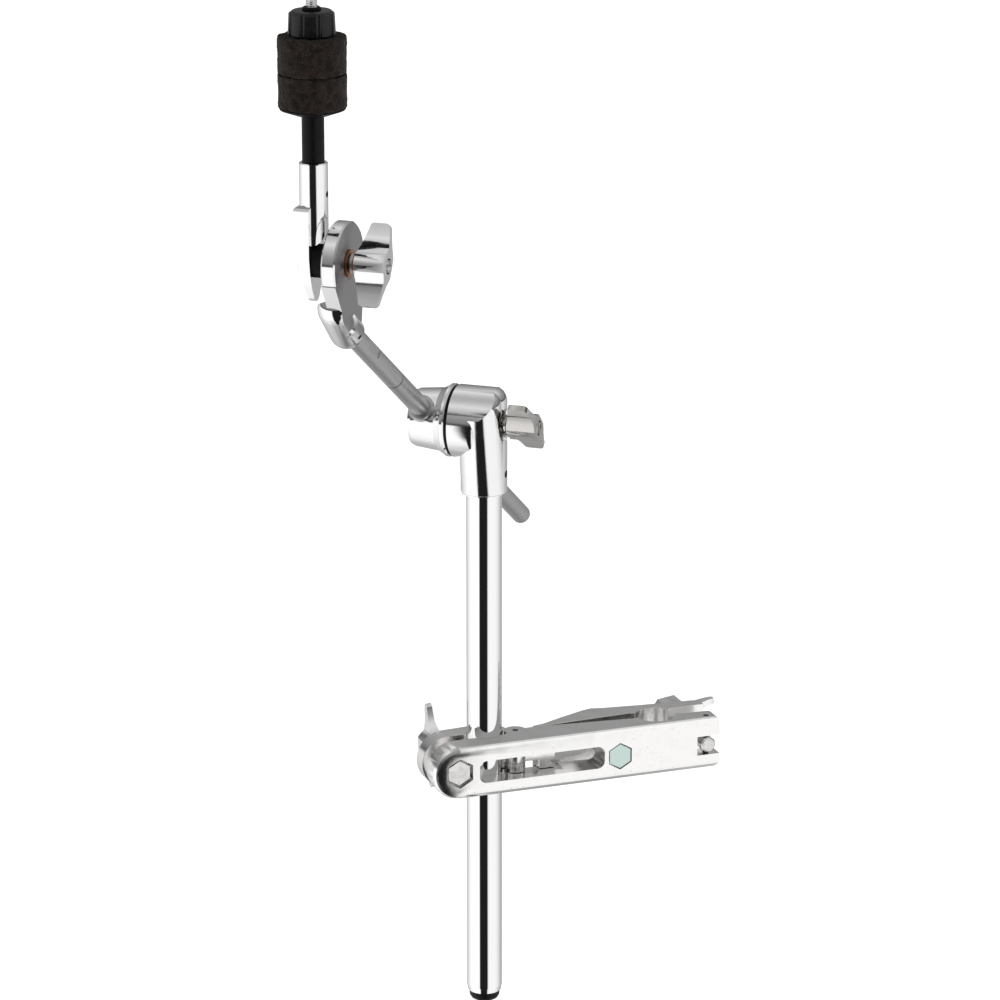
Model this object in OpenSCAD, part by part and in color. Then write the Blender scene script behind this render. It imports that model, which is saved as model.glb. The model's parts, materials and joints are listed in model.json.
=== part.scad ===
// Short boom cymbal holder: a hinged tube clamp carries a plain tube, a boom
// joint on top of the tube, a sliding boom rod, a tilter and a cymbal post.
// Origin: centre of the stand-tube seat. +X: along the clamp towards the swing
// bolt. +Y: towards the wing nuts. +Z: up along the stand tube.

/* [Clamp] */
// Radius of the seat that grips the stand tube, mm
seat_r = 11.15; // [9.6:0.05:14.4]
// Half of the clamp castings' height, mm
clamp_hz = 14.6; // [12:0.1:18]
// Front face of the front casting, mm
front_y = -14.3; // [-20:0.1:-12]
// Right end of the front casting, mm
front_right_x = 32; // [26:0.5:40]
// Window's left end, mm
window_x0 = -106.8; // [-110:0.1:-100]
// Window's right end, mm
window_x1 = -35.1; // [-50:0.1:-30]
// Window's height, mm
window_h = 12.4; // [8:0.1:16]
// Holder bolt's place along the clamp, mm
holder_x = -118; // [-124:0.5:-112]
// Stop bolt's place along the clamp, mm
stop_x = -26.1; // [-30:0.1:-18]
// Clamp bolts' width across flats, mm
hex_af = 11.8; // [10:0.1:17]
// Swing bolt's place along the clamp, mm
swing_x = 25.3; // [22:0.1:28]
// Swing bolt's hinge line, mm
swing_y = -10.4; // [-12:0.1:-8]
// Swing bolt's height, mm
swing_z = -1.2; // [-3:0.1:3]
// Jaw hinge line along the clamp, mm
hinge_x = -80.4; // [-84:0.1:-76]
// Jaw hinge line's depth, mm
hinge_y = 2.8; // [0:0.1:5]
// Hinge pin radius, mm
pin_r = 1.6; // [1:0.1:2.5]

/* [Tube] */
// Tube axis along the clamp, mm
tube_x = -97.4; // [-102:0.1:-92]
// Tube axis depth, mm
tube_y = 5; // [0:0.5:8]
// Tube radius, mm
tube_r = 9.55; // [7:0.05:12.7]
// Tube wall, mm
tube_wall = 1.3; // [0.8:0.1:3]
// Tube's lower end, mm
tube_z0 = -134; // [-180:1:-60]
// End cap's lower face, mm
cap_z0 = -139.6; // [-190:0.2:-66]

/* [Boom joint] */
// Turn of the boom joint about the tube, degrees
boom_yaw = -39; // [-180:1:180]
// Height of the boom joint's axis, mm
barrel_z = 188; // [150:0.5:230]
// Barrel radius, mm
barrel_r = 19.5; // [15:0.1:24]
// Socket radius round the tube, mm
socket_r = 12.4; // [11:0.1:15]
// Socket's lower rim, mm
socket_z0 = 150; // [130:1:170]
// Boom eye's radius beside the flange, mm
eye_r = 17; // [13:0.1:20]
// Boom eye's outer end along the joint axis, mm
eye_end = -38.6; // [-45:0.5:-36]
// Boom rod's place along the joint axis, mm
rod_u = -30; // [-32:0.5:-24]

/* [Boom rod] */
// Boom rod radius, mm
rod_r = 5.25; // [4:0.05:8]
// Boom rod's rise above level, degrees
rod_pitch = 33; // [-30:0.25:60]
// Rod length on the tilter side of the joint, mm
rod_up = 139.5; // [80:1:200]
// Rod length below the joint, mm
rod_down = 181; // [100:1:260]

/* [Tilter] */
// Middle of the tilter disc along the joint axis, mm
tilter_u = -28.8; // [-34:0.1:-24]
// Tilter pivot, out from the tube, mm
pivot_out = 130.3; // [100:0.1:200]
// Tilter pivot's height, mm
pivot_z = 303.3; // [250:0.5:360]
// Tilter disc radius, mm
disc_r = 21; // [16:0.1:26]
// Tilter disc thickness, mm
disc_t = 7.5; // [5:0.1:10]
// Post axis to the left of the disc's middle, mm
post_off = 14.8; // [12:0.1:18]
// Post socket radius, mm
post_r = 7.2; // [6:0.1:9]
// Post socket's top, mm
post_top = 353.4; // [340:0.1:380]

/* [Cymbal seat] */
// Threaded cymbal rod radius, mm
stem_r = 2.97; // [2.4:0.01:4]
// Cymbal rod's top, mm
stem_top = 434.5; // [420:0.5:460]
// Sleeve radius, mm
sleeve_r = 5.6; // [4:0.1:8]
// Felt radius, mm
felt_r = 17.3; // [12:0.1:22]
// Underside of the lower felt, mm
felt_z0 = 380.9; // [370:0.1:390]
// Line between the felts, mm
felt_z1 = 398; // [388:0.1:410]
// Top of the upper felt, mm
felt_z2 = 416.7; // [405:0.1:430]
// Knob radius, mm
knob_r = 11.85; // [9:0.05:16]
// Knob's top, mm
knob_top = 429.4; // [420:0.2:440]

/* [Hidden] */
$fn = 96;
small_fn = 48;
eps = 0.01;
fit = 0.05;
gap = 0.3;
over = 30;
socket_z1 = 168;
thread_r = 3.95;
lug_r = 6.2;
lug_z = 8.3;
knuckle_r = 5.5;
knuckle_split = -3;
parting_y = -1.7;
slot_z = -1.4;
slot_h = 10.7;
jaw_y0 = 5.6;
jaw_y1 = 17.4;
jaw_ring_r = 13.6;
jaw_bore_r = 5.4;
arm_end_x = 31;
bore_r = tube_r + 0.1;
hole_r = thread_r + 0.35;
neck_y = pivot_out - rod_up * cos(rod_pitch);
neck_z = barrel_z + rod_up * sin(rod_pitch) - pivot_z;

// ---------- frames ----------

// Boom joint frame: x along the joint axis, y away from the tilter, z up
module boom_frame() {
    translate([tube_x, tube_y, barrel_z]) rotate([0, 0, boom_yaw]) children();
}

// Rod frame: z runs up the boom rod from the joint axis
module rod_frame() {
    boom_frame() translate([rod_u, 0, 0]) rotate([90 - rod_pitch, 0, 0]) children();
}

// Tilter frame: origin at the pivot, x along the pivot axis, z up
module tilter_frame() {
    boom_frame() translate([tilter_u, -pivot_out, pivot_z - barrel_z]) children();
}

// Post frame: z along the cymbal post, measured in row heights
module post_frame() {
    tilter_frame() translate([-post_off, 0, -pivot_z]) children();
}

// Lays a shape's z axis along x
module along_x() {
    rotate([0, 90, 0]) children();
}

// Lays a shape's z axis along +y
module along_y() {
    rotate([-90, 0, 0]) children();
}

// ---------- shared shapes ----------

// Cylinder with a chamfer at both ends
module bar(r, z0, z1, c) {
    rotate_extrude() polygon([[0, z0], [r - c, z0], [r, z0 + c], [r, z1 - c],
        [r - c, z1], [0, z1]]);
}

// Plain ring
module ring(r_in, r_out, z0, z1) {
    difference() {
        translate([0, 0, z0]) cylinder(r = r_out, h = z1 - z0);
        translate([0, 0, z0 - 1]) cylinder(r = r_in, h = z1 - z0 + 2);
    }
}

// Six-sided prism with points up and down, along +y
module hex_y(af, y0, y1) {
    translate([0, y0, 0]) along_y() rotate([0, 0, 30])
        cylinder(r = af / 2 / cos(30), h = y1 - y0, $fn = 6);
}

// Wing nut along +z: a tapered hub with a rounded nose and two flat wings
module wing_nut(hub_len, r0, r1, wing_pts, wing_t, nose_r, nose_len) {
    difference() {
        union() {
            rotate_extrude() polygon([[0, -nose_len], [nose_r * 0.75, -nose_len],
                [nose_r, -nose_len * 0.7], [nose_r, 0], [r0 - 0.8, 0],
                [r0, 0.8], [r1, hub_len - 0.8], [r1 - 0.8, hub_len], [0, hub_len]]);
            for (side = [0, 1]) mirror([side, 0, 0]) intersection() {
                rotate([90, 0, 0]) translate([0, 0, -20]) linear_extrude(40) polygon(wing_pts);
                linear_extrude(hub_len + 2) polygon([[0, -r1], [5, -r1], [9, -wing_t * 0.8],
                    [15, -wing_t / 2], [28, -wing_t / 2 + 0.4], [28, wing_t / 2 - 0.4],
                    [15, wing_t / 2], [9, wing_t * 0.8], [5, r1], [0, r1]]);
            }
        }
        translate([0, 0, -nose_len - 1])
            cylinder(r = thread_r + fit, h = hub_len + nose_len + 2, $fn = small_fn);
    }
}

// Wing outline with a broad square tip
broad_wing = [[0, 1], [6.5, 1.2], [19.6, 4.6], [20.8, 5], [21.4, 6.2], [21.4, 13],
    [20.9, 14.3], [19.6, 15.1], [8, 16.9], [0, 17]];
// Wing outline with a narrow swept tip
swept_wing = [[0, 1.5], [7, 2.2], [11, 5.6], [15, 10.2], [20, 12.2], [22.8, 12.8],
    [24, 14], [24, 15.4], [23, 16.6], [20, 17], [12, 16.2], [6, 17], [0, 17]];

// Plate outline along the clamp with a round left end, seen from the front
module clamp_side(y0, y1, x1, corner) {
    translate([0, y1, 0]) rotate([90, 0, 0]) linear_extrude(y1 - y0) union() {
        translate([holder_x, 0]) circle(r = clamp_hz);
        translate([holder_x, -clamp_hz]) square([x1 - corner - holder_x, 2 * clamp_hz]);
        translate([x1 - corner - eps, -clamp_hz + corner])
            square([corner + eps, 2 * clamp_hz - 2 * corner]);
        for (s = [-1, 1]) translate([x1 - corner, s * (clamp_hz - corner)])
            circle(r = corner, $fn = small_fn);
    }
}

// ---------- clamp: fixed casting and bolts ----------

// Front casting: the long bar that carries both hinge lines and both seats
module front_arm() {
    color("silver") difference() {
        union() {
            intersection() {
                union() {
                    translate([holder_x, 0, 0]) along_y() rotate_extrude() polygon([
                        [0, front_y], [clamp_hz - 3, front_y], [clamp_hz - 1.2, front_y + 0.7],
                        [clamp_hz, front_y + 2.6], [clamp_hz, 10], [0, 10]]);
                    translate([holder_x, 0, 0]) rotate([90, 0, 90])
                        linear_extrude(front_right_x - holder_x) polygon([
                            [front_y, -9.6], [front_y + 0.5, -12.4], [front_y + 2, -clamp_hz],
                            [10, -clamp_hz], [10, clamp_hz], [front_y + 0.7, clamp_hz],
                            [front_y, clamp_hz - 0.7]]);
                }
                clamp_side(front_y - 1, 11, front_right_x, 3.4);
                linear_extrude(4 * clamp_hz, center = true) polygon([[-140, front_y - 1],
                    [front_right_x, front_y - 1], [front_right_x, -4.2], [15, -3.4],
                    [12.6, parting_y], [-12.8, parting_y], [-68.5, 4.3], [-74.5, 4.3],
                    [-86, 0.5], [-88, parting_y], [-140, parting_y]]);
            }
            for (s = [-1, 1]) translate([hinge_x, hinge_y, s * (clamp_hz + lug_z) / 2])
                cylinder(r = lug_r, h = clamp_hz - lug_z, center = true);
        }
        // room for the hinge tongues
        translate([-88.5, -8, -lug_z]) cube([32, 30, 2 * lug_z]);
        // tube recess and stand seat
        translate([tube_x, tube_y, 0]) cylinder(r = bore_r, h = 100, center = true);
        cylinder(r = seat_r, h = 100, center = true);
        window_cut();
        // holder bolt pocket and hole
        translate([holder_x, 0, 0]) hex_y(hex_af + 2.8, front_y - 1, front_y + 5.6);
        translate([holder_x, -50, 0]) along_y() cylinder(r = hole_r, h = 100);
        // stop bolt pocket and hole
        translate([stop_x, 0, slot_z]) hex_y(hex_af + 1.4, front_y - 1, front_y + 4.6);
        translate([stop_x, -50, slot_z]) along_y() cylinder(r = hole_r, h = 100);
        // open slot for the swing bolt
        translate([swing_x - 6.4, -50, slot_z - slot_h / 2]) cube([over, 100, slot_h]);
        translate([hinge_x, hinge_y, 0])
            cylinder(r = pin_r + fit, h = 100, center = true, $fn = small_fn);
        translate([swing_x, swing_y, 0])
            cylinder(r = pin_r + fit, h = 100, center = true, $fn = small_fn);
    }
}

// Window through the front casting, with rounded ends
module window_cut() {
    r = 4;
    z0 = -6.9;
    translate([0, 50, 0]) rotate([90, 0, 0]) linear_extrude(100) union() {
        translate([window_x0 + r, z0]) square([window_x1 - window_x0 - 2 * r, window_h]);
        translate([window_x0, z0 + r]) square([window_x1 - window_x0, window_h - 2 * r]);
        for (x = [window_x0 + r, window_x1 - r], z = [z0 + r, z0 + window_h - r])
            translate([x, z]) circle(r = r, $fn = small_fn);
    }
}

// Hex bolt that pulls the tube jaw against the front casting
module holder_bolt() {
    color("gainsboro") translate([holder_x, 0, 0]) union() {
        hex_y(hex_af, front_y + 1.2, front_y + 5.6);
        along_y() bar(thread_r, front_y + 5, 37, 0.8);
    }
}

// Hex bolt set flush in the front casting beside the stand seat
module stop_bolt() {
    color("honeydew") translate([stop_x, 0, slot_z]) union() {
        hex_y(hex_af, front_y + 0.2, front_y + 4.6);
        along_y() bar(thread_r, front_y + 4, 5.4, 0.8);
    }
}

// Nut on the back of the flush bolt
module stop_nut() {
    color("silver") translate([stop_x, 0, slot_z]) difference() {
        hex_y(hex_af, 0.7, 5.1);
        along_y() translate([0, 0, -5]) cylinder(r = thread_r + fit, h = 20, $fn = small_fn);
    }
}

// Hinge pin of both rear jaws
module hinge_pin() {
    color("dimgray") translate([hinge_x, hinge_y, 0])
        cylinder(r = pin_r, h = 2 * clamp_hz - 1.6, center = true, $fn = small_fn);
}

// Hinge pin of the swing bolt
module swing_pin() {
    color("dimgray") translate([swing_x, swing_y, 0])
        cylinder(r = pin_r, h = 2 * clamp_hz - 1.6, center = true, $fn = small_fn);
}

// ---------- clamp: tube jaw ----------

// Rear jaw that presses the tube into the front casting
module holder_jaw() {
    color("silver") difference() {
        union() {
            difference() {
                intersection() {
                    clamp_side(0, 30, -80, 2);
                    linear_extrude(4 * clamp_hz, center = true) union() {
                        polygon([[-140, jaw_y0], [tube_x, jaw_y0],
                            [tube_x, tube_y + jaw_ring_r], [-104, jaw_y1], [-140, 14.4]]);
                        intersection() {
                            translate([tube_x, tube_y]) circle(r = jaw_ring_r);
                            translate([tube_x - 8, jaw_y0]) square([30, 20]);
                        }
                    }
                }
                translate([hinge_x, hinge_y, 0])
                    cylinder(r = lug_r + 0.5, h = 100, center = true);
            }
            translate([holder_x, 10, 0]) along_y() cylinder(r = 9.6, h = jaw_y1 - 10);
            translate([0, 0, -lug_z + gap]) linear_extrude(knuckle_split + lug_z - gap - 0.1)
                union() {
                    translate([hinge_x, hinge_y]) circle(r = knuckle_r);
                    polygon([[-90, 6.5], [-84.5, 3], [hinge_x, hinge_y + 5.4], [-86, 12.4]]);
                }
        }
        translate([tube_x, tube_y, 0]) cylinder(r = bore_r, h = 100, center = true);
        translate([holder_x, -50, 0]) along_y() cylinder(r = jaw_bore_r, h = 100);
        translate([hinge_x, hinge_y, 0])
            cylinder(r = pin_r + fit, h = 100, center = true, $fn = small_fn);
    }
}

// Washer under the tube jaw's wing nut
module holder_washer() {
    color("lightgray") translate([holder_x, 0, 0]) along_y()
        ring(thread_r + fit, 9, jaw_y1 + 0.1, jaw_y1 + 1.7);
}

// Wing nut of the tube jaw
module holder_wing_nut() {
    color("silver") translate([holder_x, jaw_y1 + 1.8, 0]) along_y() rotate([0, 0, 87])
        wing_nut(17, 8.2, 6.4, swept_wing, 3.6, 5.5, 0.01);
}

// ---------- clamp: stand jaw ----------

// Long rear jaw that closes over the stand tube
module rear_arm() {
    color("silver") difference() {
        union() {
            intersection() {
                translate([0, 40, 0]) rotate([90, 0, 0]) linear_extrude(60)
                    translate([-90, -clamp_hz]) square([90 + arm_end_x, 2 * clamp_hz]);
                linear_extrude(4 * clamp_hz, center = true) polygon([[-69.4, 5.2],
                    [-60.4, 4.2], [-37.3, 5.7], [-12.6, 6.9], [-9.9, 5.9], [9.9, 5.9],
                    [12.6, 6.9], [arm_end_x, 7.2], [arm_end_x, 13.6],
                    [27, 15], [-2.2, 17.4], [-24, 20.2], [-29.6, 21.6], [-35, 20.2],
                    [-50, 13.6], [-62, 7.8], [-69.4, 5.9]]);
            }
            // root block and tongue in the window
            translate([-67.6, -0.5, -lug_z + gap]) cube([8.9, 6.2, 2 * lug_z - 2 * gap]);
            translate([hinge_x, -0.5, knuckle_split + 0.1])
                cube([15, 6.1, lug_z - gap - knuckle_split - 0.1]);
            translate([hinge_x, hinge_y, knuckle_split + 0.1])
                cylinder(r = knuckle_r, h = lug_z - gap - knuckle_split - 0.1);
        }
        cylinder(r = seat_r, h = 100, center = true);
        // open notch that takes the swing bolt
        translate([swing_x - 5.2, -20, swing_z - 4.9]) cube([over, 60, 9.8]);
        translate([hinge_x, hinge_y, 0])
            cylinder(r = pin_r + fit, h = 100, center = true, $fn = small_fn);
        // room round the front casting's hinge lugs
        for (s = [-1, 1]) translate([hinge_x, hinge_y, s * (lug_z + 10 - gap)])
            cylinder(r = lug_r + 0.6, h = 20, center = true);
    }
}

// Bolt that swings out of the stand jaw's notch
module swing_bolt() {
    color("gainsboro") difference() {
        translate([swing_x, 0, swing_z]) along_y() union() {
            bar(4.2, swing_y - 4.5, swing_y + 9, 0.8);
            bar(thread_r, swing_y + 8, 45, 0.8);
        }
        translate([swing_x, swing_y, 0])
            cylinder(r = pin_r + fit, h = 100, center = true, $fn = small_fn);
    }
}

// Washer under the swing bolt's wing nut
module swing_washer() {
    color("lightgray") translate([swing_x, 0, swing_z]) along_y()
        ring(thread_r + fit, 9, 19.4, 21);
}

// Wing nut of the swing bolt
module swing_wing_nut() {
    color("silver") translate([swing_x, 21.1, swing_z]) along_y() rotate([0, 0, -8])
        wing_nut(25, 9, 8, [for (p = swept_wing) [p[0] * 1.12, p[1] + 7]], 4, 5.5, 0.01);
}

// ---------- tube ----------

// End cap in the tube's lower end
module tube_cap() {
    color("black") translate([tube_x, tube_y, 0]) rotate_extrude() polygon([[0, cap_z0],
        [5.6, cap_z0], [7.2, cap_z0 + 0.9], [8.1, cap_z0 + 2.4], [8.5, tube_z0 - 0.1],
        [tube_r - tube_wall - 0.1, tube_z0 - 0.1], [tube_r - tube_wall - 0.1, tube_z0 + 9],
        [0, tube_z0 + 9]]);
}

// Plain tube that slides and turns in the clamp
module tube() {
    color("gainsboro") translate([tube_x, tube_y, 0]) rotate_extrude() polygon([
        [tube_r - tube_wall, tube_z0], [tube_r - 0.6, tube_z0], [tube_r, tube_z0 + 3],
        [tube_r, socket_z1 - 0.4], [tube_r - tube_wall, socket_z1 - 0.4]]);
}

// ---------- boom joint ----------

// Round column of the socket, leaning towards the front or the back as it rises
module socket_column(r, lean) {
    foot = socket_z0 - barrel_z;
    translate([0, 0, foot]) rotate([lean, 0, 0]) rotate_extrude() polygon([[0, 0],
        [r - 1, 0], [r, 1], [r, 13 - foot], [r - 0.5, 15 - foot], [r - 1.7, 17 - foot],
        [r - 3.6, 18.6 - foot], [r - 6, barrel_r - foot], [0, barrel_r - foot]]);
}

// Socket on the tube's upper end with the fixed half of the boom joint
module housing() {
    color("silver") difference() {
        intersection() {
            boom_frame() union() {
                along_x() rotate_extrude() polygon([[0, -15], [barrel_r - 0.7, -15],
                    [barrel_r, -14.3], [barrel_r, -3.2], [barrel_r - 0.4, -1.4],
                    [barrel_r - 1.4, 0.2], [0, 0.6]]);
                socket_column(socket_r, 0);
                socket_column(socket_r - 0.5, 9);
                // gusset under the barrel
                translate([0, 5, 0]) rotate([90, 0, 0]) linear_extrude(10) polygon([
                    [-14.8, -10], [-14.8, -19.4], [-12, -27], [-8, -27], [-8, -10]]);
            }
            boom_frame() union() {
                along_x() cylinder(r = barrel_r, h = 80, center = true);
                translate([-40, -40, socket_z0 - barrel_z]) cube([80, 80, barrel_z - socket_z0]);
            }
        }
        translate([tube_x, tube_y, socket_z0 - 1])
            cylinder(r = tube_r + fit, h = socket_z1 - socket_z0 + 1);
        boom_frame() along_x() cylinder(r = hole_r, h = 80, center = true);
        // dished seat round the wing nut's nose
        boom_frame() along_x() rotate_extrude() polygon([[0, 6.4], [8.4, 6.4], [8.4, 8.4],
            [9.4, 13], [0, 13]]);
        // screw hole
        boom_frame() translate([8, 0, 161 - barrel_z]) along_x()
            cylinder(r = 2, h = 10, $fn = small_fn);
    }
}

// Screw that locks the socket to the tube
module housing_screw() {
    color("dimgray") boom_frame() translate([0, 0, 161 - barrel_z]) along_x()
        difference() {
            bar(1.9, tube_r + 0.1, 11.6, 0.3);
            translate([0, 0, 10.6]) cylinder(r = 1, h = 2, $fn = 6);
        }
}

// Dark friction washer in the boom joint
module clutch_washer() {
    color("black") boom_frame() along_x() ring(hole_r, barrel_r - 0.6, -16.1, -15.05);
}

// Dished washer under the boom wing nut
module nut_seat() {
    color("dimgray") boom_frame() along_x() rotate_extrude() polygon([[hole_r, 6.5],
        [8.1, 6.5], [8.1, 8.2], [5.9, 7.9], [hole_r, 7.6]]);
}

// Turning half of the boom joint; the boom rod runs through it
module boom_eye() {
    color("silver") difference() {
        boom_frame() along_x() rotate_extrude() polygon([[0, eye_end],
            [eye_r - 4.4, eye_end], [eye_r - 2.2, eye_end + 0.8], [eye_r - 1.4, eye_end + 2.6],
            [eye_r, -22.6], [barrel_r - 0.6, -19.2], [barrel_r, -18.4],
            [barrel_r, -17], [barrel_r - 0.7, -16.25], [0, -16.25]]);
        rod_frame() cylinder(r = 7.05, h = 100, center = true);
        boom_frame() along_x() translate([0, 0, -19.6]) cylinder(r = 7.2, h = 10);
        // small vent hole in the front
        boom_frame() rotate([rod_pitch - 60, 0, 0]) translate([eye_end + 6, -25, 0]) along_y()
            cylinder(r = 0.9, h = 10, $fn = small_fn);
    }
}

// Bolt that draws the eye against the housing
module pull_bolt() {
    color("gainsboro") boom_frame() along_x() union() {
        bar(7, -19.5, -16.4, 0.4);
        bar(thread_r, -17, 29.5, 0.8);
    }
}

// Wing nut of the boom joint
module boom_wing_nut() {
    color("silver") boom_frame() translate([13.6, 0, 0]) along_x() rotate([0, 0, 227])
        wing_nut(17, 6.4, 5.6, broad_wing, 3.4, 5.6, 5.2);
}

// Bush round the boom rod in the eye
module rod_bush() {
    color("lightgray") rod_frame() rotate_extrude() polygon([[rod_r + fit, -18.2],
        [6.6, -18.2], [7, -17.6], [7, 17.6], [6.6, 18.6], [rod_r + fit, 18.6]]);
}

// Boom rod with a rounded lower end and locating marks
module boom_rod() {
    color("lightgray") rod_frame() difference() {
        rotate_extrude() polygon([[0, -rod_down], [3.2, -rod_down], [4.5, -rod_down + 0.8],
            [rod_r, -rod_down + 2.4], [rod_r, rod_up - 0.1], [4.4, rod_up - 0.1],
            [4.4, rod_up + 11], [0, rod_up + 11]]);
        // slot in the lower end
        translate([-0.7, -10, -rod_down - 1]) cube([1.4, 20, 3.4]);
        // ring groove
        translate([0, 0, 66]) ring(rod_r - 0.4, rod_r + 2, 0, 1);
        // locating flat beside the tilter
        translate([rod_r - 0.6, -4, 106]) cube([3, 8, 17]);
        // pin hole through the spigot
        translate([0, 0, rod_up + 4.5]) rotate([0, 0, -25]) along_x()
            cylinder(r = 1.3, h = 60, center = true, $fn = small_fn);
    }
}

// ---------- tilter ----------

// Socket frame: origin at the boom rod's end in the neck, z on along the rod
module neck_frame() {
    tilter_frame() translate([rod_u - tilter_u, neck_y, neck_z])
        rotate([90 - rod_pitch, 0, 0]) children();
}

// Lower half of the tilter: disc, neck and the boom rod's socket
module tilter_base() {
    hub_y = -2.4;
    hub_z = -23;
    end_y = 9.8;
    end_z = -37.8;
    hub_r = 10.2;
    end_r = 9;
    neck_len = sqrt((end_y - hub_y) * (end_y - hub_y) + (end_z - hub_z) * (end_z - hub_z));
    neck_turn = atan2(end_y - hub_y, hub_z - end_z);
    color("silver") difference() {
        union() {
            tilter_frame() along_x() rotate_extrude() polygon([[0, -disc_t / 2],
                [disc_r - 0.8, -disc_t / 2], [disc_r, -disc_t / 2 + 0.8],
                [disc_r, disc_t / 2 - 0.8], [disc_r - 0.8, disc_t / 2], [0, disc_t / 2]]);
            tilter_frame() difference() {
                translate([-1.8, hub_y, hub_z]) rotate([neck_turn, 0, 0])
                    mirror([0, 0, 1]) rotate_extrude() polygon(concat(
                        [for (a = [-90 : 15 : 0]) [hub_r * cos(a), hub_r * sin(a)]],
                        [for (a = [0 : 15 : 90]) [end_r * cos(a), neck_len + end_r * sin(a)]]));
                translate([disc_t / 2, -60, -60]) cube([60, 120, 120]);
                along_x() translate([0, 0, -60 - disc_t / 2])
                    cylinder(r = disc_r + 0.6, h = 60);
            }
            // flat flank between the disc and the neck
            tilter_frame() rotate([90, 0, 90]) translate([0, 0, -disc_t / 2])
                linear_extrude(disc_t) polygon([[-20, -8], [-12.8, -19.6], [-4.8, -31],
                    [3, -37.4], [9.4, -40.8], [14, -37], [16.6, -33.6], [21.2, -4], [0, 0]]);
            neck_frame() translate([0.6, 0, 0]) bar(7.3, 0, 14.5, 1.4);
        }
        tilter_frame() along_x() cylinder(r = hole_r, h = 100, center = true);
        neck_frame() translate([0, 0, -1]) cylinder(r = 4.45, h = 13);
        // mouth of the socket
        neck_frame() translate([0, 0, -20]) cylinder(r = rod_r + gap, h = 20);
        neck_frame() translate([-30, -30, -40]) cube([60, 60, 37.5]);
        // pin hole across the socket
        neck_frame() translate([0, 0, 4.5]) rotate([0, 0, -25]) along_x()
            cylinder(r = 1.3, h = 60, center = true, $fn = small_fn);
        // shallow step round the bolt
        tilter_frame() along_x() translate([0, 0, disc_t / 2 - 0.6]) cylinder(r = 8.2, h = 2);
    }
}

// Pin that holds the boom rod in the neck
module neck_pin() {
    color("dimgray") neck_frame() translate([0, 0, 4.5]) rotate([0, 0, -25]) along_x()
        cylinder(r = 1.25, h = 13, center = true, $fn = small_fn);
}

// Copper-coloured washer on the disc
module tilter_washer() {
    color("peru") tilter_frame() along_x()
        ring(hole_r, 7, disc_t / 2 - 0.5, disc_t / 2 + 0.9);
}

// Dark friction hub between the two tilter halves
module friction_hub() {
    color("black") tilter_frame() along_x()
        ring(hole_r, 8.5, -post_off + 1.2, -disc_t / 2 - 0.15);
}

// Upper half of the tilter: flank plate and post socket
module tilter_top() {
    plate_x0 = -post_off - post_r;
    plate_x1 = -post_off + 1.1;
    color("silver") difference() {
        tilter_frame() union() {
            difference() {
                rotate([90, 0, 90]) translate([0, 0, plate_x0])
                    linear_extrude(plate_x1 - plate_x0) union() {
                        polygon([[-10.4, 26.8], [-9, 28], [9, 28], [10.4, 26.8], [10.4, 3],
                            [9.2, -5], [6.4, -13.5], [3.6, -18.5], [-3.6, -18.5],
                            [-6.4, -13.5], [-9.2, -5], [-10.4, 3]]);
                        translate([0, -16.5]) circle(r = 4.2, $fn = small_fn);
                    }
                // flank leans inwards below the bolt
                translate([plate_x0, 0, 12]) rotate([0, -9, 0]) translate([-20, -40, -80])
                    cube([20, 80, 80]);
            }
            translate([-post_off, 0, 4]) bar(post_r, 0, post_top - pivot_z - 4, 0.5);
        }
        // scoop that clears the disc and the hub
        tilter_frame() translate([0, 40, 0]) rotate([90, 0, 0]) linear_extrude(80) polygon([
            [plate_x1, -60], [plate_x1, 8.8], [-11.5, 9.2], [-9.2, 11], [-7.8, 14.5],
            [-6.6, 19], [10, 19], [10, -60]]);
        tilter_frame() along_x() cylinder(r = thread_r + fit, h = 100, center = true);
        tilter_frame() translate([plate_x0 - 1, 0, 0]) along_x() cylinder(r = 7.1, h = 3.6);
        // stem bore and screw hole
        post_frame() translate([0, 0, pivot_z + 22]) cylinder(r = stem_r + fit, h = 60);
        post_frame() translate([0, 0, 337.5]) along_x() cylinder(r = 1.6, h = 20, $fn = small_fn);
    }
}

// Bolt through the tilter
module tilter_bolt() {
    color("gainsboro") tilter_frame() along_x() union() {
        bar(6.9, -post_off - post_r + 0.4, -post_off - post_r + 2.5, 0.4);
        bar(thread_r, -post_off - post_r + 1, 21, 0.8);
    }
}

// Wing nut of the tilter
module tilter_wing_nut() {
    color("silver") tilter_frame() translate([7.4, 0, 0]) along_x() rotate([0, 0, 180 - 28])
        wing_nut(17, 7, 5.4, broad_wing, 3.4, 5.4, 2.6);
}

// Screw that locks the stem in the post
module post_screw() {
    color("dimgray") post_frame() translate([0, 0, 337.5]) along_x() difference() {
        bar(1.5, stem_r + 0.1, post_r - 0.5, 0.2);
        translate([0, 0, post_r - 1.4]) cylinder(r = 0.8, h = 2, $fn = 6);
    }
}

// ---------- cymbal seat ----------

// Threaded cymbal stem
module cymbal_stem() {
    color("gainsboro") post_frame() bar(stem_r, pivot_z + 22.3, stem_top, 0.7);
}

// Plastic sleeve round the stem
module sleeve() {
    color("black") post_frame() ring(stem_r + fit, sleeve_r, post_top + 0.05, felt_z2 - 3);
}

// Dished plastic seat under the lower felt
module felt_seat() {
    color("black") post_frame() rotate_extrude() polygon([[sleeve_r + fit, felt_z0 - 3.8],
        [8.4, felt_z0 - 3.8], [felt_r - 1, felt_z0 - 0.9], [felt_r - 0.6, felt_z0 - 0.1],
        [sleeve_r + fit, felt_z0 - 0.1]]);
}

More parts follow.
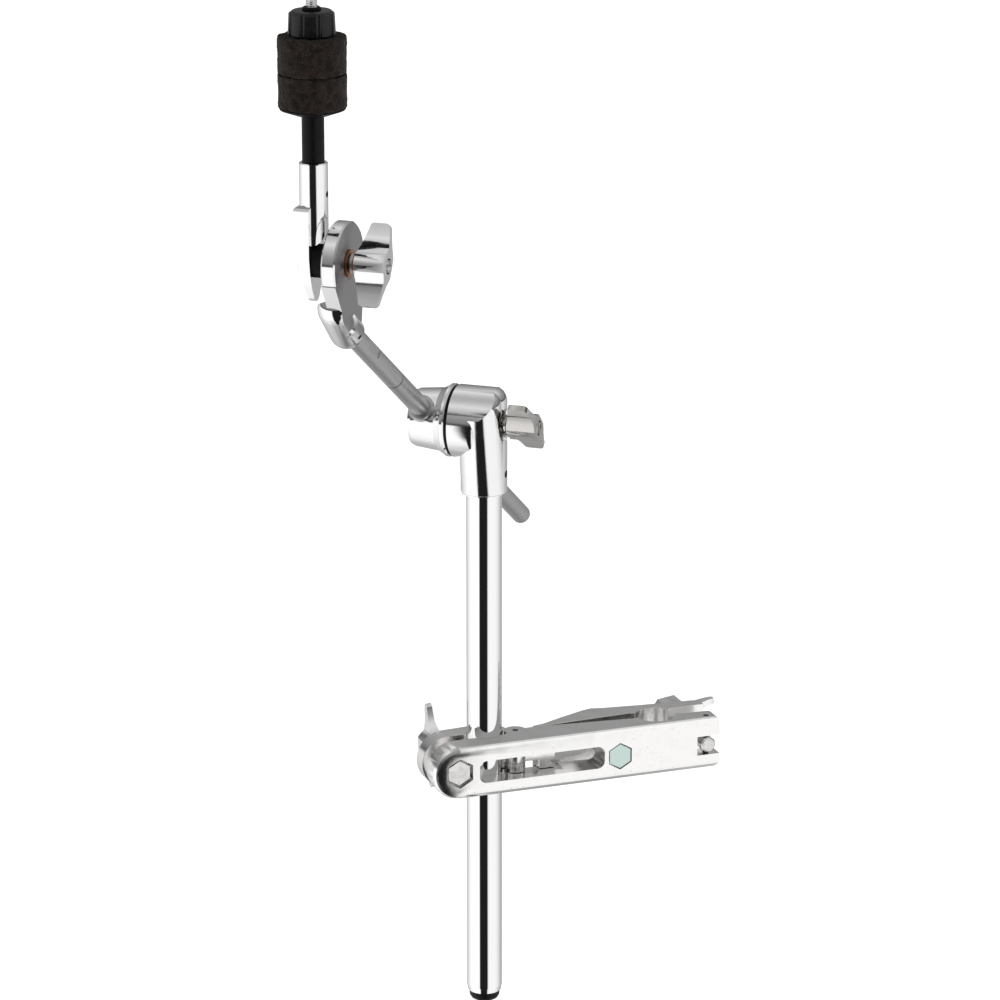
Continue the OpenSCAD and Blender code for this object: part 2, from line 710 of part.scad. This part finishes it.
// Felt washer: a thick ring with softened edges
module felt(z0, z1) {
    rotate_extrude() polygon([[sleeve_r + 0.35, z0], [felt_r - 1.6, z0], [felt_r - 0.4, z0 + 0.7],
        [felt_r, z0 + 2], [felt_r, z1 - 2], [felt_r - 0.4, z1 - 0.7], [felt_r - 1.6, z1],
        [sleeve_r + 0.35, z1]]);
}

// Felt below the cymbal
module lower_felt() {
    color([0.2, 0.16, 0.14]) post_frame() felt(felt_z0, felt_z1 - 0.1);
}

// Felt above the cymbal
module upper_felt() {
    color([0.2, 0.16, 0.14]) post_frame() felt(felt_z1, felt_z2);
}

// Threaded core of the quick nut, with its raised collar
module quick_core() {
    color("black") post_frame() rotate_extrude() polygon([[stem_r + fit, felt_z2 + 0.1],
        [8.4, felt_z2 + 0.1], [8.4, felt_z2 + 1.4], [4.7, felt_z2 + 1.4], [4.7, knob_top + 0.9],
        [4.1, knob_top + 1.6], [stem_r + fit, knob_top + 1.6]]);
}

// Fluted shell of the quick nut
module knob_shell() {
    flutes = 9;
    color([0.12, 0.12, 0.13]) post_frame() difference() {
        rotate_extrude() polygon([[4.75, felt_z2 + 1.5], [8.5, felt_z2 + 1.5],
            [8.5, felt_z2 + 0.2], [knob_r - 0.8, felt_z2 + 0.2], [knob_r, felt_z2 + 1],
            [knob_r - 0.5, knob_top - 1.6], [knob_r - 2.2, knob_top - 0.3],
            [knob_r - 4, knob_top], [4.75, knob_top]]);
        for (i = [0 : flutes - 1]) rotate([0, 0, boom_yaw + i * 360 / flutes + 17])
            translate([0, knob_r + 0.5, felt_z2 - 5]) cylinder(r = 1.9, h = 30, $fn = small_fn);
    }
}

front_arm();
holder_bolt();
stop_bolt();
stop_nut();
hinge_pin();
swing_pin();
holder_jaw();
holder_washer();
holder_wing_nut();
rear_arm();
swing_bolt();
swing_washer();
swing_wing_nut();
tube_cap();
tube();
housing();
housing_screw();
clutch_washer();
nut_seat();
boom_eye();
pull_bolt();
boom_wing_nut();
rod_bush();
boom_rod();
tilter_base();
neck_pin();
tilter_washer();
friction_hub();
tilter_top();
tilter_bolt();
tilter_wing_nut();
post_screw();
cymbal_stem();
sleeve();
felt_seat();
lower_felt();
upper_felt();
quick_core();
knob_shell();
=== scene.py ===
"""Looks of a short-boom cymbal holder: plated castings, a mirror-bright tube, a satin boom
rod, felts over a plastic sleeve and a threaded cymbal rod, in a plain white studio."""

import json
import math

import bpy
import numpy as np
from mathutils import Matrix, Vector


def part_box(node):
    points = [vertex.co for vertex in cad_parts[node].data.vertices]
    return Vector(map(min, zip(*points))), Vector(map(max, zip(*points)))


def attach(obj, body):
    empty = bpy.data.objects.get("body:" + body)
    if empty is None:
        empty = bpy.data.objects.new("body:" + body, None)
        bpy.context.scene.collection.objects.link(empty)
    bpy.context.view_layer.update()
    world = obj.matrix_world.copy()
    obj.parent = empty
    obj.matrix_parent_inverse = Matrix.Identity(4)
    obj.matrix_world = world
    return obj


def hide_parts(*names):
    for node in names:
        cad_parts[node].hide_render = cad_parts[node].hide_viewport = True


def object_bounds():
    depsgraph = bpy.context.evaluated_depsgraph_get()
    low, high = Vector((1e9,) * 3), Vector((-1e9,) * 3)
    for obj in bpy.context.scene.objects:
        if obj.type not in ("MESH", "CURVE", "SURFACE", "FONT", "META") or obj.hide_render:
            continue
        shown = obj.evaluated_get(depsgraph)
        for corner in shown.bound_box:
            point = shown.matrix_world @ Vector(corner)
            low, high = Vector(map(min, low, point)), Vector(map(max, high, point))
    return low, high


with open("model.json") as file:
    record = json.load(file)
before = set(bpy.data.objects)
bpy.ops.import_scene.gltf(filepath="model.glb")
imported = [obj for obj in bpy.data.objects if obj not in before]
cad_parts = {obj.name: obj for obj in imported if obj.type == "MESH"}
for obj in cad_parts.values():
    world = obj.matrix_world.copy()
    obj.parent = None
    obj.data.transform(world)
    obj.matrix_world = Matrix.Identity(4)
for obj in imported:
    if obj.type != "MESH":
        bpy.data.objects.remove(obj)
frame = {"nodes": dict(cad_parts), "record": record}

MM = 0.001
NODES = frame["nodes"]
BODY_OF = {n: b for b, members in frame["record"]["behaviour"]["bodies"].items() for n in members}
JOINTS = {j["name"]: j for j in frame["record"]["behaviour"]["joints"]}
JOINT_AXIS = Vector(JOINTS["tilt"]["axis"])
cad_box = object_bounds()


# ---------- camera and studio ----------

# The camera stands left of the front and looks slightly down through a long lens
VIEW_AZIMUTH = math.radians(-20)
VIEW_ELEVATION = math.radians(17)
VIEW_DISTANCE = 2.4
LENS = 163
# How far the tube stands left of the middle of the view, and how low the view is aimed
TUBE_LEFT_OF_CENTRE = 8.48 * MM
AIM_BELOW_MIDDLE = 2 * MM


def add_camera():
    """Camera at the viewing angle, aimed just beside the tube's axis, halfway up the object."""
    low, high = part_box("tube")
    middle = (cad_box[0].z + cad_box[1].z) / 2 - AIM_BELOW_MIDDLE
    a, e = VIEW_AZIMUTH, VIEW_ELEVATION
    back = Vector((math.sin(a) * math.cos(e), -math.cos(a) * math.cos(e), math.sin(e)))
    right = Vector((math.cos(a), math.sin(a), 0))
    aim = Vector(((low.x + high.x) / 2, (low.y + high.y) / 2, middle))
    data = bpy.data.cameras.new("camera")
    data.lens = LENS
    data.clip_start = 0.1
    data.clip_end = 60
    camera = bpy.data.objects.new("camera", data)
    camera.location = aim + TUBE_LEFT_OF_CENTRE * right + VIEW_DISTANCE * back
    camera.rotation_mode = "QUATERNION"
    camera.rotation_quaternion = (-back).to_track_quat("-Z", "Y")
    bpy.context.collection.objects.link(camera)
    bpy.context.scene.camera = camera


def ramp(nodes, links, factor, stops):
    """Colour ramp fed by factor; each stop is (place from 0 to 1, brightness)."""
    node = nodes.new("ShaderNodeValToRGB")
    while len(node.color_ramp.elements) > 1:
        node.color_ramp.elements.remove(node.color_ramp.elements[-1])
    first = node.color_ramp.elements[0]
    for i, (place, level) in enumerate(stops):
        stop = first if i == 0 else node.color_ramp.elements.new(place)
        stop.position = place
        stop.color = (level, level, level, 1)
    links.new(factor, node.inputs[0])
    return node.outputs[0]


def math_node(nodes, links, operation, *values):
    """Math node whose inputs are numbers or sockets."""
    node = nodes.new("ShaderNodeMath")
    node.operation = operation
    for socket, value in zip(node.inputs, values):
        if isinstance(value, (int, float)):
            socket.default_value = value
        else:
            links.new(value, socket)
    return node.outputs[0]


# Brightness round the horizon below eye level, by degrees to the right of the camera
LOW_CARDS = [(-180, 0.36), (-150, 0.50), (-112, 0.84), (-92, 1.0), (-34, 1.0), (-28, 0.012),
             (19, 0.012), (26, 0.84), (38, 0.90), (80, 0.88), (100, 0.74), (134, 0.40),
             (180, 0.36)]
# Share of that brightness left near the ground, by degrees of height
GROUND_SHADE = [(-90, 0.42), (-78, 0.52), (-60, 0.88), (-46, 1.0), (0, 1.0)]
# Brightness above eye level, by degrees of height
HIGH_CARDS = [(0, 0.03), (3, 0.07), (8, 0.20), (24, 0.28), (40, 0.46), (56, 0.70), (72, 0.40),
              (90, 0.32)]
CARD_STRENGTH = 1.12
# Heights between which the view changes from the low cards to the high ones, in degrees
EYE_LINE = (-3, 1)


def studio_world():
    """White room with a dark gap behind the camera, a dark line at eye level, greyer cards above
    and a shaded ground: brightness is looked up by compass direction below eye level, less the
    ground's shade, and by height above it."""
    world = bpy.data.worlds.new("studio")
    world.use_nodes = True
    bpy.context.scene.world = world
    nodes, links = world.node_tree.nodes, world.node_tree.links
    shade = nodes["Background"]
    direction = nodes.new("ShaderNodeTexCoord").outputs["Generated"]
    turned = nodes.new("ShaderNodeMapping")
    turned.inputs["Rotation"].default_value[2] = -VIEW_AZIMUTH
    links.new(direction, turned.inputs["Vector"])
    split = nodes.new("ShaderNodeSeparateXYZ")
    links.new(turned.outputs[0], split.inputs[0])
    x, y, z = split.outputs
    ahead = math_node(nodes, links, "MULTIPLY", y, -1.0)
    turn = math_node(nodes, links, "ARCTAN2", x, ahead)
    around = math_node(nodes, links, "MULTIPLY_ADD", turn, 1 / math.tau, 0.5)
    low = ramp(nodes, links, around, [(d / 360 + 0.5, v) for d, v in LOW_CARDS])
    height = math_node(nodes, links, "ARCSINE", z)
    share = math_node(nodes, links, "MULTIPLY", height, 2 / math.pi)
    high = ramp(nodes, links, share, [(d / 90, v) for d, v in HIGH_CARDS])
    depth = math_node(nodes, links, "ADD", share, 1.0)
    shaded = ramp(nodes, links, depth, [(d / 90 + 1, v) for d, v in GROUND_SHADE])
    lower = nodes.new("ShaderNodeMixRGB")
    lower.blend_type = "MULTIPLY"
    lower.inputs[0].default_value = 1.0
    links.new(low, lower.inputs[1])
    links.new(shaded, lower.inputs[2])
    edge = nodes.new("ShaderNodeMapRange")
    edge.interpolation_type = "SMOOTHSTEP"
    edge.inputs["From Min"].default_value = math.radians(EYE_LINE[0])
    edge.inputs["From Max"].default_value = math.radians(EYE_LINE[1])
    links.new(height, edge.inputs["Value"])
    mix = nodes.new("ShaderNodeMixRGB")
    links.new(edge.outputs[0], mix.inputs[0])
    links.new(lower.outputs[0], mix.inputs[1])
    links.new(high, mix.inputs[2])
    links.new(mix.outputs[0], shade.inputs["Color"])
    shade.inputs["Strength"].default_value = CARD_STRENGTH


def add_floor():
    """Wide pale floor below the held object; bright enough to fade into the white room."""
    size = 40
    drop = 0.25
    z = cad_box[0].z - drop
    mesh = bpy.data.meshes.new("floor")
    corners = [(-size, -size, z), (size, -size, z), (size, size, z), (-size, size, z)]
    mesh.from_pydata(corners, [], [(0, 1, 2, 3)])
    material = bpy.data.materials.new("pale_floor")
    material.use_nodes = True
    shader = material.node_tree.nodes["Principled BSDF"]
    shader.inputs["Base Color"].default_value = (0.9, 0.9, 0.9, 1)
    shader.inputs["Roughness"].default_value = 0.9
    shader.inputs["Emission Color"].default_value = (1, 1, 1, 1)
    shader.inputs["Emission Strength"].default_value = 0.75
    mesh.materials.append(material)
    floor = bpy.data.objects.new("floor", mesh)
    floor.visible_glossy = False
    bpy.context.collection.objects.link(floor)


# ---------- materials ----------

def start_material(name, color, metallic, roughness, **constants):
    """Principled material with its constant sockets set; returns it, its tree and its shader."""
    material = bpy.data.materials.new(name)
    material.use_nodes = True
    shader = material.node_tree.nodes["Principled BSDF"]
    shader.inputs["Base Color"].default_value = (*color, 1)
    shader.inputs["Metallic"].default_value = metallic
    shader.inputs["Roughness"].default_value = roughness
    for socket, value in constants.items():
        shader.inputs[socket.replace("_", " ")].default_value = value
    return material, material.node_tree, shader


def noise(tree, scale, detail=4.0, stretch=(1, 1, 1), turn=(0, 0, 0)):
    """Noise on object coordinates, scale in cells a metre, stretched along its own axes."""
    place = tree.nodes.new("ShaderNodeMapping")
    place.inputs["Scale"].default_value = stretch
    place.inputs["Rotation"].default_value = turn
    coords = tree.nodes.new("ShaderNodeTexCoord")
    tree.links.new(coords.outputs["Object"], place.inputs["Vector"])
    pattern = tree.nodes.new("ShaderNodeTexNoise")
    pattern.inputs["Scale"].default_value = scale
    pattern.inputs["Detail"].default_value = detail
    tree.links.new(place.outputs[0], pattern.inputs["Vector"])
    return pattern.outputs["Fac"]


def spread(tree, factor, low, high, start=0.3, end=0.7):
    """Maps factor from start..end to low..high."""
    node = tree.nodes.new("ShaderNodeMapRange")
    for name, value in (("From Min", start), ("From Max", end), ("To Min", low), ("To Max", high)):
        node.inputs[name].default_value = value
    tree.links.new(factor, node.inputs["Value"])
    return node.outputs[0]


def tint(tree, factor, first, second):
    """Colour between first and second by factor."""
    node = tree.nodes.new("ShaderNodeMixRGB")
    node.inputs[1].default_value = (*first, 1)
    node.inputs[2].default_value = (*second, 1)
    tree.links.new(factor, node.inputs[0])
    return node.outputs[0]


def bump(tree, shader, height, strength, depth, onto=None):
    """Bump of a real depth in metres, stacked on an earlier one."""
    node = tree.nodes.new("ShaderNodeBump")
    node.inputs["Strength"].default_value = strength
    node.inputs["Distance"].default_value = depth
    tree.links.new(height, node.inputs["Height"])
    if onto:
        tree.links.new(onto, node.inputs["Normal"])
    tree.links.new(node.outputs[0], shader.inputs["Normal"])
    return node.outputs[0]


def tube_chrome():
    """Mirror plating on drawn tube: faint haze and very slight waviness."""
    material, tree, shader = start_material("tube_chrome", (0.93, 0.935, 0.93), 1.0, 0.03)
    haze = noise(tree, 60, 5)
    tree.links.new(spread(tree, haze, 0.022, 0.055), shader.inputs["Roughness"])
    bump(tree, shader, noise(tree, 35, 1, (1, 1, 0.25)), 0.03, 0.5 * MM)
    return material


def casting_chrome(name, color, satin_faces=False):
    """Bright plating over a polished die casting: wavier and a little hazier than the tube. With
    satin_faces, faces square to the boom joint's axis are a duller, finely cast grey."""
    material, tree, shader = start_material(name, color, 1.0, 0.07)
    haze = spread(tree, noise(tree, 140, 5), 0.05, 0.12)
    grain = noise(tree, 2600, 3)
    waves = bump(tree, shader, noise(tree, 110, 1.5), 0.07, 0.5 * MM)
    bump(tree, shader, grain, 0.05, 0.03 * MM, waves)
    if not satin_faces:
        tree.links.new(haze, shader.inputs["Roughness"])
        return material
    coords = tree.nodes.new("ShaderNodeTexCoord")
    facing = tree.nodes.new("ShaderNodeVectorMath")
    facing.operation = "DOT_PRODUCT"
    facing.inputs[1].default_value = (JOINT_AXIS.x, JOINT_AXIS.y, 0)
    tree.links.new(coords.outputs["Normal"], facing.inputs[0])
    flat = spread(tree, facing.outputs["Value"], 0.0, 1.0, 0.90, 0.97)
    dull = tint(tree, grain, (0.34, 0.33, 0.335), (0.50, 0.485, 0.49))
    finish = tree.nodes.new("ShaderNodeMixRGB")
    tree.links.new(flat, finish.inputs[0])
    finish.inputs[1].default_value = (*color, 1)
    tree.links.new(dull, finish.inputs[2])
    tree.links.new(finish.outputs[0], shader.inputs["Base Color"])
    rough = math_node(tree.nodes, tree.links, "MULTIPLY_ADD", flat, 0.30, haze)
    tree.links.new(rough, shader.inputs["Roughness"])
    return material


def crowned(tree, start, bend):
    """Height field of a face that curves away left of start, as the square of the distance."""
    coords = tree.nodes.new("ShaderNodeTexCoord")
    split = tree.nodes.new("ShaderNodeSeparateXYZ")
    tree.links.new(coords.outputs["Object"], split.inputs[0])
    past = math_node(tree.nodes, tree.links, "SUBTRACT", start, split.outputs[0])
    past = math_node(tree.nodes, tree.links, "MAXIMUM", past, 0.0)
    square = math_node(tree.nodes, tree.links, "MULTIPLY", past, past)
    return math_node(tree.nodes, tree.links, "MULTIPLY", square, -bend)


def clamp_casting():
    """Plated clamp casting: hazy chrome with a fine orange-peel skin, small dark pits and a
    gentle crown towards its round end."""
    material, tree, shader = start_material("clamp_casting", (0.97, 0.965, 0.96), 1.0, 0.16)
    pits = spread(tree, noise(tree, 900, 2), 0.0, 1.0, 0.67, 0.75)
    tree.links.new(tint(tree, pits, (0.97, 0.962, 0.955), (0.55, 0.53, 0.51)),
                   shader.inputs["Base Color"])
    tree.links.new(spread(tree, noise(tree, 180, 5), 0.16, 0.24), shader.inputs["Roughness"])
    crown = bump(tree, shader, crowned(tree, -0.100, 3.4), 1.0, 1.0)
    waves = bump(tree, shader, noise(tree, 45, 1.5), 0.35, 1.0 * MM, crown)
    skin = bump(tree, shader, noise(tree, 420, 3), 0.08, 0.2 * MM, waves)
    bump(tree, shader, pits, 0.25, -0.05 * MM, skin)
    return material


def satin_steel():
    """Satin plated rod and washers: fine grain and slightly uneven roughness."""
    material, tree, shader = start_material("satin_steel", (0.56, 0.56, 0.565), 1.0, 0.36)
    grain = noise(tree, 1500, 4)
    tree.links.new(tint(tree, grain, (0.50, 0.50, 0.505), (0.66, 0.66, 0.665)),
                   shader.inputs["Base Color"])
    tree.links.new(spread(tree, noise(tree, 300, 4), 0.30, 0.44), shader.inputs["Roughness"])
    bump(tree, shader, grain, 0.10, 0.06 * MM)
    return material


def bolt_plating(name, color, dark):
    """Dull plated bolt: speckled grain and worn patches."""
    material, tree, shader = start_material(name, color, 1.0, 0.36)
    speck = spread(tree, noise(tree, 1900, 3), 0.0, 1.0, 0.42, 0.68)
    tree.links.new(tint(tree, speck, color, dark), shader.inputs["Base Color"])
    tree.links.new(spread(tree, noise(tree, 500, 4), 0.28, 0.46), shader.inputs["Roughness"])
    bump(tree, shader, noise(tree, 1300, 3), 0.14, 0.08 * MM)
    return material


def pale_green_plating():
    """Pale green bolt head: half metal, half lacquer, with fine specks."""
    material, tree, shader = start_material("pale_green_plating", (0.70, 0.88, 0.82), 0.2, 0.42)
    speck = noise(tree, 2100, 3)
    tree.links.new(tint(tree, speck, (0.64, 0.83, 0.77), (0.80, 0.93, 0.89)),
                   shader.inputs["Base Color"])
    bump(tree, shader, speck, 0.15, 0.05 * MM)
    return material


def dark_metal():
    """Blackened steel: screws, pins and washers."""
    material, tree, shader = start_material("dark_metal", (0.05, 0.05, 0.055), 0.9, 0.4)
    worn = noise(tree, 700, 4)
    tree.links.new(tint(tree, worn, (0.03, 0.03, 0.032), (0.11, 0.11, 0.115)),
                   shader.inputs["Base Color"])
    tree.links.new(spread(tree, worn, 0.32, 0.5), shader.inputs["Roughness"])
    return material


def copper_washer():
    """Dull copper with darker stains."""
    material, tree, shader = start_material("copper_washer", (0.55, 0.30, 0.19), 1.0, 0.35)
    stain = noise(tree, 400, 5)
    tree.links.new(tint(tree, stain, (0.36, 0.20, 0.14), (0.66, 0.38, 0.25)),
                   shader.inputs["Base Color"])
    return material


def black_plastic(name, level, roughness, gloss):
    """Moulded black plastic: fine grain and slightly uneven gloss."""
    material, tree, shader = start_material(
        name, (level, level, level * 1.05), 0.0, roughness, Specular_IOR_Level=gloss)
    grain = noise(tree, 3200, 2)
    mottle = noise(tree, 260, 4)
    dark = (level * 0.8, level * 0.8, level * 0.84)
    light = (level * 1.35, level * 1.33, level * 1.42)
    tree.links.new(tint(tree, mottle, dark, light), shader.inputs["Base Color"])
    tree.links.new(spread(tree, mottle, roughness - 0.06, roughness + 0.08),
                   shader.inputs["Roughness"])
    bump(tree, shader, grain, 0.12, 0.04 * MM)
    return material


def wool_felt():
    """Dense dark wool felt: matted fibres in two browns, soft sheen, deep fine bump."""
    material, tree, shader = start_material(
        "wool_felt", (0.02, 0.016, 0.014), 0.0, 0.95, Sheen_Weight=0.10, Sheen_Roughness=0.5,
        Specular_IOR_Level=0.08)
    fibres = noise(tree, 1500, 6, (1, 1, 2.2))
    clumps = noise(tree, 260, 5)
    lint = spread(tree, noise(tree, 1100, 5, (1, 1, 3.0)), 0.0, 1.0, 0.60, 0.74)
    ground = tint(tree, spread(tree, clumps, 0, 1), (0.006, 0.005, 0.0045), (0.030, 0.0215, 0.0185))
    mix = tree.nodes.new("ShaderNodeMixRGB")
    tree.links.new(lint, mix.inputs[0])
    tree.links.new(ground, mix.inputs[1])
    mix.inputs[2].default_value = (0.115, 0.090, 0.078, 1)
    tree.links.new(mix.outputs[0], shader.inputs["Base Color"])
    rough = bump(tree, shader, clumps, 0.6, 0.8 * MM)
    bump(tree, shader, fibres, 0.9, 0.35 * MM, rough)
    return material


MATERIALS = {
    "tube": tube_chrome(),
    "casting": casting_chrome("casting_chrome", (0.90, 0.905, 0.90)),
    # The boom wing nut's plating is the casting chrome made darker: painted shade for its dim
    # faces.
    "nut": casting_chrome("nut_plating_painted_shade", (0.62, 0.60, 0.58)),
    "disc": casting_chrome("disc_plating", (0.88, 0.885, 0.88), True),
    "clamp": clamp_casting(),
    "rod": satin_steel(),
    "bolt": bolt_plating("bolt_plating", (0.95, 0.94, 0.925), (0.74, 0.73, 0.72)),
    "green": pale_green_plating(),
    "dark": dark_metal(),
    "copper": copper_washer(),
    "plastic": black_plastic("black_plastic", 0.005, 0.40, 0.14),
    "shell": black_plastic("shell_plastic", 0.008, 0.26, 0.30),
    "washer": black_plastic("fibre_washer", 0.006, 0.7, 0.2),
    "felt": wool_felt(),
}

FINISHES = {
    "tube": ["tube", "cymbal_stem"],
    "casting": ["housing", "boom_eye", "tilter_top", "tilter_wing_nut"],
    "nut": ["boom_wing_nut"],
    "disc": ["tilter_base"],
    "clamp": ["front_arm", "rear_arm", "holder_jaw", "holder_wing_nut", "swing_wing_nut"],
    "rod": ["boom_rod", "rod_bush", "holder_washer", "swing_washer"],
    "bolt": ["holder_bolt", "swing_bolt", "stop_nut", "pull_bolt", "tilter_bolt"],
    "green": ["stop_bolt"],
    "dark": ["hinge_pin", "swing_pin", "housing_screw", "post_screw", "neck_pin", "nut_seat"],
    "copper": ["tilter_washer"],
    "plastic": ["tube_cap", "sleeve", "felt_seat", "quick_core"],
    "shell": ["knob_shell"],
    "washer": ["clutch_washer", "friction_hub"],
    "felt": ["lower_felt", "upper_felt"],
}


def paint_nodes():
    """Gives each carried-over CAD node its finish."""
    for finish, names in FINISHES.items():
        for name in names:
            for place in NODES[name].material_slots:
                place.material = MATERIALS[finish]


# ---------- pieces ----------

def join_piece(name, node, mesh, finish):
    """Links a finished mesh that stands for a CAD node and rides with that node's body."""
    mesh.materials.clear()
    mesh.materials.append(MATERIALS[finish])
    piece = bpy.data.objects.new(name, mesh)
    bpy.context.collection.objects.link(piece)
    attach(piece, BODY_OF[node])
    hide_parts(node)
    return piece


def grid_mesh(name, points, closed_rows):
    """Mesh of a grid of points whose columns wrap round. Its rows also wrap when closed_rows
    is true, as on a ring; otherwise each end row closes on a point at its middle."""
    rows, columns = points.shape[:2]
    vertices = points.reshape(-1, 3)
    last = rows if closed_rows else rows - 1
    r, c = np.meshgrid(np.arange(last), np.arange(columns), indexing="ij")
    r2, c2 = (r + 1) % rows, (c + 1) % columns
    quads = np.stack([r * columns + c, r * columns + c2, r2 * columns + c2, r2 * columns + c], -1)
    faces = quads.reshape(-1, 4).tolist()
    if not closed_rows:
        count = len(vertices)
        vertices = np.vstack([vertices, points[0].mean(0), points[-1].mean(0)])
        around = np.arange(columns)
        after = (around + 1) % columns
        top = (rows - 1) * columns
        faces += np.stack([after, around, np.full(columns, count)], -1).tolist()
        faces += np.stack([top + around, top + after, np.full(columns, count + 1)], -1).tolist()
    mesh = bpy.data.meshes.new(name)
    mesh.from_pydata(vertices.tolist(), [], faces)
    mesh.polygons.foreach_set("use_smooth", np.ones(len(faces), bool))
    mesh.update()
    return mesh


def wrapped_noise(random, shape, cells):
    """Smooth noise from -1 to 1 that wraps both ways: random values on a coarse grid, faded
    from cell to cell with a smooth step."""
    values = random.uniform(-1, 1, cells)
    u = np.arange(shape[0]) * cells[0] / shape[0]
    v = np.arange(shape[1]) * cells[1] / shape[1]
    i, j = u.astype(int), v.astype(int)
    fu, fv = u - i, v - j
    fu, fv = (fu * fu * (3 - 2 * fu))[:, None], (fv * fv * (3 - 2 * fv))[None]
    i2, j2 = (i + 1) % cells[0], (j + 1) % cells[1]
    upper = values[i][:, j] * (1 - fv) + values[i][:, j2] * fv
    lower = values[i2][:, j] * (1 - fv) + values[i2][:, j2] * fv
    return upper * (1 - fu) + lower * fu


def add_felt(name, node, seed):
    """Felt washer: a soft-cornered square section (a superellipse, evenly stepped along its
    length) carried round the cymbal rod, then pushed in and out by three sizes of noise: broad
    lumps, tufts and fibre ends, all set a little inwards to stay inside the CAD felt."""
    low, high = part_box(node)
    sleeve_low, sleeve_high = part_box("sleeve")
    sleeve_room, rim_room, face_room = 0.5 * MM, 0.15 * MM, 0.06 * MM
    inner = (sleeve_high.x - sleeve_low.x) / 2 + sleeve_room
    outer = (high.x - low.x) / 2 - rim_room
    half_r, half_z = (outer - inner) / 2, (high.z - low.z) / 2 - face_room
    around, along = 320, 150
    corner_power = 2 / 26
    t = np.linspace(0, math.tau, 4000)
    r = np.sign(np.cos(t)) * np.abs(np.cos(t)) ** corner_power * half_r
    z = np.sign(np.sin(t)) * np.abs(np.sin(t)) ** corner_power * half_z
    length = np.concatenate([[0], np.cumsum(np.hypot(np.diff(r), np.diff(z)))])
    steps = np.arange(along) * length[-1] / along
    r, z = np.interp(steps, length, r), np.interp(steps, length, z)
    out_r = np.roll(z, -1) - np.roll(z, 1)
    out_z = np.roll(r, 1) - np.roll(r, -1)
    size = np.hypot(out_r, out_z)
    out_r, out_z = out_r / size, out_z / size
    random = np.random.default_rng(seed)
    lumps = 0.22 * wrapped_noise(random, (along, around), (9, 14))
    tufts = 0.16 * wrapped_noise(random, (along, around), (30, 70))
    fibres = 0.13 * wrapped_noise(random, (along, around), (75, 160))
    inset = 0.12
    push = (lumps + tufts + fibres - inset) * MM
    turn = np.arange(around)[None] * math.tau / around
    radius = (inner + half_r + r)[:, None] + push * out_r[:, None]
    height = ((low.z + high.z) / 2 + z)[:, None] + push * out_z[:, None]
    centre = (low + high) / 2
    points = np.stack([centre.x + radius * np.cos(turn), centre.y + radius * np.sin(turn),
                       height + 0 * turn], -1)
    piece = join_piece(name, node, grid_mesh(name, points, True), "felt")


def add_threaded_rod():
    """Cymbal rod: a round bar whose top end carries a thread. Radius at height z and turn a is
    the bar's, less a rounded groove that climbs one pitch a turn and fades in at its start."""
    low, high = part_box("cymbal_stem")
    radius = (high.x - low.x) / 2
    pitch, depth, chamfer = 1.0 * MM, 0.42 * MM, 0.6 * MM
    steps_a_turn, roundness, chamfer_slope = 10, 0.8, 0.9
    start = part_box("upper_felt")[0].z
    columns = 36
    plain = np.linspace(low.z, start, 8)
    step = pitch / steps_a_turn
    cut = np.arange(start + step, high.z - 0.01 * MM, step)
    z = np.concatenate([plain, cut, [high.z]])[:, None]
    turn = np.arange(columns)[None] * math.tau / columns
    phase = z / pitch * math.tau - turn
    fade = np.clip((z - start) / pitch, 0, 1)
    groove = depth * fade * (0.5 - 0.5 * np.cos(phase)) ** roundness
    tip = np.clip(z - (high.z - chamfer), 0, None)
    size = np.minimum(radius - groove, radius - tip * chamfer_slope)
    centre = (low + high) / 2
    points = np.stack([centre.x + size * np.cos(turn), centre.y + size * np.sin(turn),
                       z + 0 * turn], -1)
    join_piece("threaded_cymbal_rod", "cymbal_stem",
               grid_mesh("threaded_cymbal_rod", points, False), "tube")


# Castings drawn with rounded edges: finish, size of the rounding, nodes
ROUNDED = [
    ("clamp", 0.7 * MM, ["front_arm", "rear_arm", "holder_jaw", "holder_wing_nut",
                         "swing_wing_nut"]),
    ("casting", 0.5 * MM, ["housing", "tilter_top", "tilter_wing_nut"]),
    ("nut", 0.5 * MM, ["boom_wing_nut"]),
    ("disc", 0.5 * MM, ["tilter_base"]),
]
EDGE_ANGLE = math.radians(32)


def round_edges(name, node, finish, width):
    """Copy of a CAD casting with its flat faces whole and its edges rounded."""
    mesh = NODES[node].data.copy()
    mesh.name = name
    piece = join_piece(name, node, mesh, finish)
    bpy.context.view_layer.objects.active = piece
    bpy.ops.object.select_all(action="DESELECT")
    piece.select_set(True)
    bpy.ops.mesh.customdata_custom_splitnormals_clear()
    bpy.ops.object.mode_set(mode="EDIT")
    bpy.ops.mesh.select_all(action="SELECT")
    bpy.ops.mesh.remove_doubles(threshold=2e-6)
    bpy.ops.mesh.dissolve_limited(angle_limit=math.radians(0.6))
    bpy.ops.object.mode_set(mode="OBJECT")
    mesh.set_sharp_from_angle(angle=EDGE_ANGLE)
    mesh.polygons.foreach_set("use_smooth", np.ones(len(mesh.polygons), bool))
    edges = piece.modifiers.new("rounded_edges", "BEVEL")
    edges.width = width
    edges.segments = 2
    edges.limit_method = "ANGLE"
    edges.angle_limit = EDGE_ANGLE
    edges.harden_normals = True
    edges.miter_outer = "MITER_ARC"
    return piece


add_camera()
studio_world()
add_floor()
paint_nodes()
add_felt("lower_cymbal_felt", "lower_felt", 11)
add_felt("upper_cymbal_felt", "upper_felt", 12)
add_threaded_rod()
for finish, width, names in ROUNDED:
    for node in names:
        round_edges("rounded_" + node, node, finish, width)

bpy.context.scene.view_settings.view_transform = "Standard"
